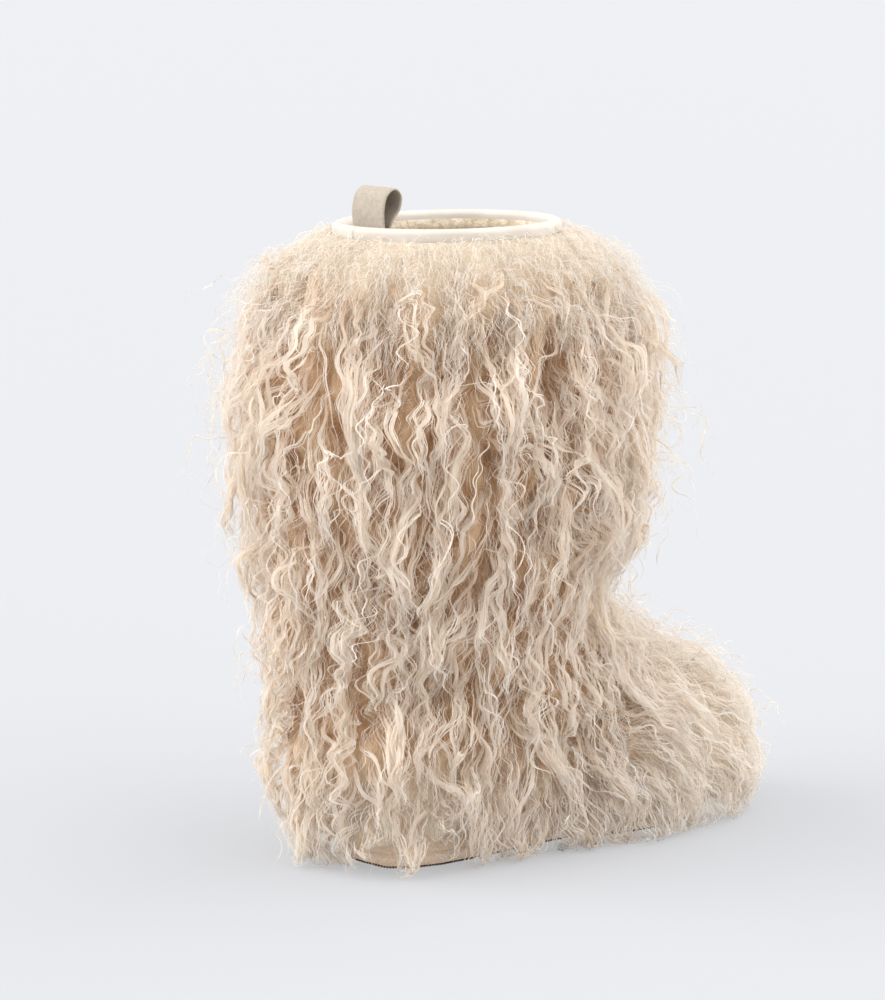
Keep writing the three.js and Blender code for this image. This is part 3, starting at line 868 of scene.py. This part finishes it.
def strands(kind, lines, outwards, asides):
    """Thin strands that follow their lock, each with a course of its own."""
    each = (len(lines), kind["strands"])
    t = np.linspace(0, 1, kind["points"]) * rng.uniform(*STRAND_LENGTHS, each)[..., None]
    path, outward, aside = along(lines, t), unit(along(outwards, t)), unit(along(asides, t))
    across, out = (s * MM for s in kind["spread"])
    closing = 1 - STRAND_CLOSING * smoothstep(CLOSING_FROM, 1, t)
    bearing = rng.uniform(0, 2 * np.pi, each)[..., None]
    ripple = RIPPLE * MM * np.sin(2 * np.pi * rng.uniform(*RIPPLE_TURNS, each)[..., None] * t + 5 * bearing)
    sideways = across * np.cos(bearing) * closing + RIPPLE_SIDEWAYS * ripple
    outways = out * (STRAND_OUT + (1 - STRAND_OUT) * np.sin(bearing)) * closing + ripple
    path = path + aside * sideways[..., None] + outward * outways[..., None]
    twist = rng.uniform(-TWIST, TWIST, each)[..., None]
    twist = twist + TWIST * np.sin(2 * np.pi * rng.uniform(*TWIST_TURNS, each)[..., None] * t + 3 * bearing)
    facing = aside * np.cos(twist)[..., None] + outward * np.sin(twist)[..., None]
    full_from, full_to = FULL_BETWEEN
    taper = ROOT_WIDTH + (1 - ROOT_WIDTH) * smoothstep(0, full_from, t)
    taper = taper * (1 - (1 - TIP_WIDTH) * smoothstep(full_to, 1, t))
    half = kind["width"] / 2 * MM * rng.uniform(*STRANDS_VARY, each)[..., None]
    half = half * taper * rng.uniform(*POINTS_VARY, t.shape)
    low, high = kind["shade"]
    shades = low + (high - low) * rng.random((each[0], 1)) + rng.normal(0, SHADE_SCATTER, each)
    flat = (-1, kind["points"], 3)
    offsets = (facing * half[..., None]).reshape(flat)
    across_path = np.stack([-offsets, offsets], 2)
    return strips(path.reshape(flat), across_path, np.clip(shades.ravel(), 0, 1), SHADE_BAND * kind["width"])


def zones_of(roots):
    """The parts of the boot, each with the roots that lie in it."""
    level = roots[:, 2] / MM
    ahead = roots[:, 0] / MM >= FOOT_FROM
    return {
        "high": level >= HIGH_FROM,
        "mid": (level >= MID_FROM) & (level < HIGH_FROM),
        "heel": (level < MID_FROM) & ~ahead,
        "foot": (level < MID_FROM) & ahead,
    }


def fur_piece(name, parts, material):
    vertices, quads, uv = parts
    piece(name, vertices, quads, material, "fur", uv)


def locks_of(name, kind, base, guides, material, cores=None):
    """Pieces of one kind of lock, one for each zone of the boot."""
    roots, normals = roots_of(kind, base)
    for zone, inside in zones_of(roots).items():
        if not inside.any():
            continue
        lines = lock_lines(kind, base, guides, roots[inside], normals[inside])
        fur_piece(f"{name}_{zone}", strands(kind, *lines), material)
        if cores:
            fur_piece(f"tresses_{zone}", strands(cores, *lines), material)


def fur_locks(base):
    woolly = fur_shader("fur", FUR_STOPS)
    fluffy = fur_shader("fluff", FLUFF_STOPS)
    downy = fur_shader("down", DOWN_STOPS)
    guides = Guides(base)
    locks_of("hairs", TRESSES, base, guides, woolly, CORES)
    others = [
        ("wisps", WISPS, woolly),
        ("strays", STRAYS, woolly),
        ("tips", FOOT_TIPS, downy),
        ("flyaways", FLYAWAYS, woolly),
        ("veil", VEIL, woolly),
        ("down", FOOT_FLUFF, downy),
        ("hem", HEM, downy),
        ("fluff", FLUFF, fluffy),
    ]
    for name, kind, material in others:
        locks_of(name, kind, base, guides, material)


# Collar: leather binding, fleece lining and webbing loop
def rim_ring(inset, angles):
    """Points of the collar's oval, a distance in millimetres inside the binding's outer face."""
    low, high = (np.array(corner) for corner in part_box("collar_binding"))
    middle, half = (low + high) / 2, (high - low) / 2
    inset = np.asarray(inset) * MM
    return middle[0] + (half[0] - inset) * np.cos(angles), middle[1] + (half[1] - inset) * np.sin(angles)


def binding():
    """A strip folded over the collar's edge, with its ends sewn together at the back."""
    low, high = (np.array(corner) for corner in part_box("collar_binding"))
    leg = (high[2] - low[2]) / MM - BINDING_CROWN
    turn = np.linspace(0, np.pi, CROWN_STEPS)
    over = [(BINDING_WIDTH / 2 * (1 - np.cos(a)), leg + BINDING_CROWN * np.sin(a)) for a in turn]
    outside = [(BINDING_TUCK, 0), (BINDING_BOW, leg / 3), (0, leg * 2 / 3)]
    inside = [(BINDING_WIDTH - inset, height) for inset, height in reversed(outside)]
    far_fold, near_fold = BINDING_WIDTH - BINDING_FOLD, BINDING_FOLD
    under = [(far_fold, 0), (far_fold, leg + BINDING_GAP), (near_fold, leg + BINDING_GAP), (near_fold, 0)]
    inset, height = np.array(outside + over + inside + under).T
    angles = np.linspace(0, 2 * np.pi, RIM_STEPS, endpoint=False)[:, None]
    uneven = sum(size * (1 + np.sin(turns * angles + start)) for size, turns, start in BINDING_WAVES)
    seam = np.exp(-(((angles - np.pi) * (high[0] - low[0]) / 2 / MM / SEAM_WIDTH) ** 2))
    x, y = rim_ring(inset + uneven + SEAM_DEPTH * seam, angles)
    z = low[2] + (height - SEAM_DIP * SEAM_DEPTH * seam) * MM + np.zeros_like(x)
    points = np.stack([x, y, z], -1)
    material = mottled("leather", LEATHER_IVORY, LEATHER_SHADE, **LEATHER_LOOK)
    faces = grid_faces(RIM_STEPS, len(inset), round_rows=True)
    piece("binding", points.reshape(-1, 3), faces, material, "collar_binding", closed=True)


def lining():
    """Curly fleece on the inside of the shaft, from under the binding down."""
    walls, wall_faces = triangles_of("upper")
    folds, fold_faces = triangles_of("collar_binding")
    wall = search_tree(np.vstack([walls, folds]), np.vstack([wall_faces, fold_faces + len(walls)]))
    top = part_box("collar_binding")[1][2] - BINDING_SHOWS * MM
    middle = sum(corner[0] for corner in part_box("collar_binding")) / 2
    levels = np.linspace(top, top - LINING_DEPTH * MM, LINING_ROWS)
    angles = np.linspace(0, 2 * np.pi, LINING_STEPS, endpoint=False)
    fade = smoothstep(1, FLEECE_THINS, np.linspace(0, 1, LINING_ROWS))
    points = []
    for level, share in zip(levels, fade):
        axis = Vector((middle, 0, level))
        for angle in angles:
            way = Vector((math.cos(angle), math.sin(angle), 0))
            hit = wall.ray_cast(axis, way)[0]
            tuft = noise.voronoi(hit / (FLEECE_TUFT * MM))[0][0]
            thick = FLEECE_LEAST + share * (FLEECE_TUFTED - FLEECE_HOLLOW * min(tuft, 1))
            points.append(hit - way * thick * MM)
    material = mottled("fleece", FLEECE_CREAM, FLEECE_SHADE, **FLEECE_LOOK)
    piece("lining", np.array(points), grid_faces(LINING_ROWS, LINING_STEPS), material)
    return material


def run_along(points):
    """How far along their line points lie."""
    return np.concatenate([[0], np.cumsum(np.linalg.norm(np.diff(points, axis=0), axis=1))])


def smooth_line(points, count):
    """A smooth line through given points, at even steps."""
    points = np.array(points, float)
    padded = np.vstack([2 * points[0] - points[1], points, 2 * points[-1] - points[-2]])
    t = np.linspace(0, 1, SPAN_STEPS, endpoint=False)[:, None]
    fine = []
    for i in range(len(points) - 1):
        a, b, c, d = padded[i : i + 4]
        bend = (2 * a - 5 * b + 4 * c - d) * t**2
        sway = (3 * b - a - 3 * c + d) * t**3
        fine.append(0.5 * (2 * b + (c - a) * t + bend + sway))
    fine = np.vstack([*fine, points[-1:]])
    run = run_along(fine)
    even = np.linspace(0, run[-1], count)
    return np.stack([np.interp(even, run, fine[:, k]) for k in range(2)], 1), even


def pull_loop():
    """A folded tape of basket weave, its tails inside the collar."""
    low, high = (np.array(corner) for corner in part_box("pull_loop"))
    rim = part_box("collar_binding")[1][2]
    line, run = smooth_line(LOOP_LINE, LOOP_STEPS)
    tangent = unit(np.gradient(line, axis=0))
    normal = np.stack([-tangent[:, 1], tangent[:, 0]], 1)
    across = np.linspace(-1, 1, LOOP_COLUMNS)
    half_width = (high[1] - low[1]) / 2 / MM
    picks = np.sin(2 * np.pi * run / WEAVE_PITCH)[:, None]
    threads = np.where(np.arange(LOOP_COLUMNS) // THREAD_COLUMNS % 2, 1, -1)
    relief = WEAVE_HEIGHT * picks * threads
    edge = 1 - TAPE_EDGE_THINNING * smoothstep(TAPE_EDGE_FROM, 1, np.abs(across))
    thick = (LOOP_THICKNESS / 2 - WEAVE_HEIGHT) * edge + relief
    y = (half_width - TAPE_EDGE_WAVE * (1 + picks)) * across
    sides = []
    for side in (1, -1):
        x = line[:, :1] + side * normal[:, :1] * thick
        z = line[:, 1:] + side * normal[:, 1:] * thick
        sides.append(np.stack([x, y, z], -1)[:, ::side])
    rings = np.concatenate(sides, 1) * MM
    rings[..., 0] += low[0] + LOOP_SEAT * MM
    rings[..., 1] += (low[1] + high[1]) / 2
    rings[..., 2] += rim
    columns = 2 * LOOP_COLUMNS
    front = np.arange(LOOP_COLUMNS - 1)
    cap = np.stack([front, front + 1, columns - 2 - front, columns - 1 - front], 1)
    faces = np.vstack([grid_faces(LOOP_STEPS, columns), cap, cap + (LOOP_STEPS - 1) * columns])
    material = mottled("webbing", WEBBING_ECRU, WEBBING_SHADE, **WEBBING_LOOK)
    piece("loop_tape", rings.reshape(-1, 3), faces, material, "pull_loop", closed=True)


# Sole
def smooth_copy(name, node, material, settle=0):
    """A CAD node's own shape, shaded smoothly between its edges, its underside let down a little."""
    points, faces = triangles_of(node)
    below = Surface(points, faces).normals[:, 2] < UNDERSIDE
    points[below, 2] -= settle
    thing = piece(name, points, faces, material, node)
    thing.data.set_sharp_from_angle(angle=SHARP_EDGE)


def sole_edge(plate):
    """Points of the lower edge of the sole's plate and the directions out of it, one for each tooth."""
    down = Vector((0, 0, -1))
    back, front = (corner[0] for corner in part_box("outsole"))
    heel, toe = back + HEEL_ROUND * MM, front - TOE_ROUND * MM
    about = np.linspace(np.pi / 2, 3 * np.pi / 2, END_STEPS)
    side = np.linspace(heel, toe, SIDE_STEPS)
    right, left = np.full(SIDE_STEPS, 3 * np.pi / 2), np.full(SIDE_STEPS, np.pi / 2)
    centres = np.concatenate([np.full(END_STEPS, heel), side, np.full(END_STEPS, toe), side[::-1]])
    bearings = np.concatenate([about, right, about + np.pi, left])
    points = []
    for centre, bearing in zip(centres, bearings):
        start = Vector((centre, 0, LOOK_FROM * MM))
        way = Vector((math.cos(bearing), math.sin(bearing), 0))
        inside, outside = (distance * MM for distance in EDGE_BETWEEN)
        for _ in range(EDGE_HALVINGS):
            middle = (inside + outside) / 2
            if plate.ray_cast(start + way * middle, down)[0]:
                inside = middle
            else:
                outside = middle
        points.append(plate.ray_cast(start + way * inside, down)[0] + down * PLATE_THICKNESS * MM)
    points = np.array(points)
    run = run_along(points)
    even = np.arange(0, run[-1], TOOTH_PITCH * MM)
    points = np.stack([np.interp(even, run, points[:, k]) for k in range(3)], 1)
    ahead = np.roll(points, -1, 0) - np.roll(points, 1, 0)
    return points, unit(np.stack([ahead[:, 1], -ahead[:, 0], np.zeros(len(points))], 1))


def edge_corners(places, outward, along_edge, levels, reach, lean=0):
    """Corners (place, corner, 3) of upright oblongs across the sole's edge, in millimetres from it."""
    (low, high), (inner, outer) = levels, reach
    corners = [(inner, low), (outer, low), (outer - lean, high), (inner, high)]
    return np.stack([places + (along_edge + outward * out + UP * z) * MM for out, z in corners], 1)


def sole_edging(suede):
    """The napped edge of the sole, down to a row of fine teeth whose dark is partly painted shade."""
    places, outward = sole_edge(search_tree(*triangles_of("outsole")))
    band_levels = (-BAND_DEPTH, PLATE_THICKNESS + BAND_RISE)
    band = edge_corners(places, outward, 0 * outward, band_levels, BAND_REACH, BAND_LEAN)
    band_faces = grid_faces(len(places), band.shape[1], round_rows=True)
    piece("sole_band", band.reshape(-1, 3), band_faces, suede, closed=True)
    half = np.cross(UP, outward) * TOOTH_WIDTH / 2
    tooth_levels = (-TOOTH_DEPTH, -BAND_DEPTH + TOOTH_ROOT)
    sides = [edge_corners(places, outward, side * half, tooth_levels, TOOTH_REACH) for side in (-1, 1)]
    teeth = np.concatenate(sides, 1)
    box = [(0, 3, 2, 1), (4, 5, 6, 7), (0, 1, 5, 4), (1, 2, 6, 5), (2, 3, 7, 6), (3, 0, 4, 7)]
    quads = (np.arange(len(places))[:, None, None] * teeth.shape[1] + np.array(box)).reshape(-1, 4)
    # Dark teeth: partly the rubber's own colour, partly painted shade of the gaps between lugs
    rubber = mottled("tooth_rubber_and_shade", TOOTH_BROWN_AND_SHADE, TOOTH_DARK_AND_SHADE, **TOOTH_LOOK)
    piece("sole_teeth", teeth.reshape(-1, 3), quads, rubber, closed=True)


def sole():
    suede = mottled("suede", SUEDE_SAND, SUEDE_DARK, **SUEDE_LOOK)
    smooth_copy("sole_side", "midsole", suede, SOLE_SETTLE * MM)
    sole_edging(suede)
    rubber = mottled("rubber", SUEDE_SAND, SUEDE_DARK, **TREAD_LOOK)
    smooth_copy("sole_tread", "outsole", rubber)


# Camera, light and floor
def turn_along(thing, way):
    """Turns a camera or a light to face along a direction."""
    thing.rotation_mode = "QUATERNION"
    thing.rotation_quaternion = way.to_track_quat("-Z", "Y")


def make_camera():
    data = bpy.data.cameras.new("camera")
    data.lens = CAMERA_LENS
    data.clip_end = SIGHT_END
    camera = add_object("camera", data)
    bpy.context.scene.camera = camera
    azimuth = math.radians(VIEW_AZIMUTH)
    aim = Vector(CAMERA_AIM)
    eye = aim + CAMERA_DISTANCE * Vector((math.sin(azimuth), -math.cos(azimuth), 0))
    eye.z = CAMERA_HEIGHT
    camera.location = eye
    turn_along(camera, aim - eye)


def make_light():
    scene = bpy.context.scene
    scene.view_settings.view_transform = "Standard"
    scene.world = bpy.data.worlds.new("studio")
    scene.world.use_nodes = True
    sky = scene.world.node_tree.nodes["Background"]
    sky.inputs["Color"].default_value = linear(SKY_WHITE)
    sky.inputs["Strength"].default_value = SKY_STRENGTH
    for name, energy, breadth, way in SUNS:
        data = bpy.data.lights.new(name, "SUN")
        data.energy = energy
        data.angle = math.radians(breadth)
        turn_along(add_object(name, data), Vector(way))


def make_floor():
    half = FLOOR_HALF
    corners = [(-half, -half, 0), (half, -half, 0), (half, half, 0), (-half, half, 0)]
    mesh = bpy.data.meshes.new("floor")
    mesh.from_pydata(corners, [], [(0, 1, 2, 3)])
    material = shader("floor", FLOOR_WHITE, roughness=0.9, specular=0.1)
    surface = surface_of(material)
    surface.inputs["Emission Color"].default_value = linear(SKY_WHITE)
    surface.inputs["Emission Strength"].default_value = FLOOR_GLOW
    mesh.materials.append(material)
    floor = add_object("floor", mesh)


make_camera()
make_light()
make_floor()
wool = pelt(skin_surface())
fur_locks(wool)
binding()
fleece = lining()
for node in ("upper", "insole"):
    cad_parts[node].material_slots[0].material = fleece
pull_loop()
sole()
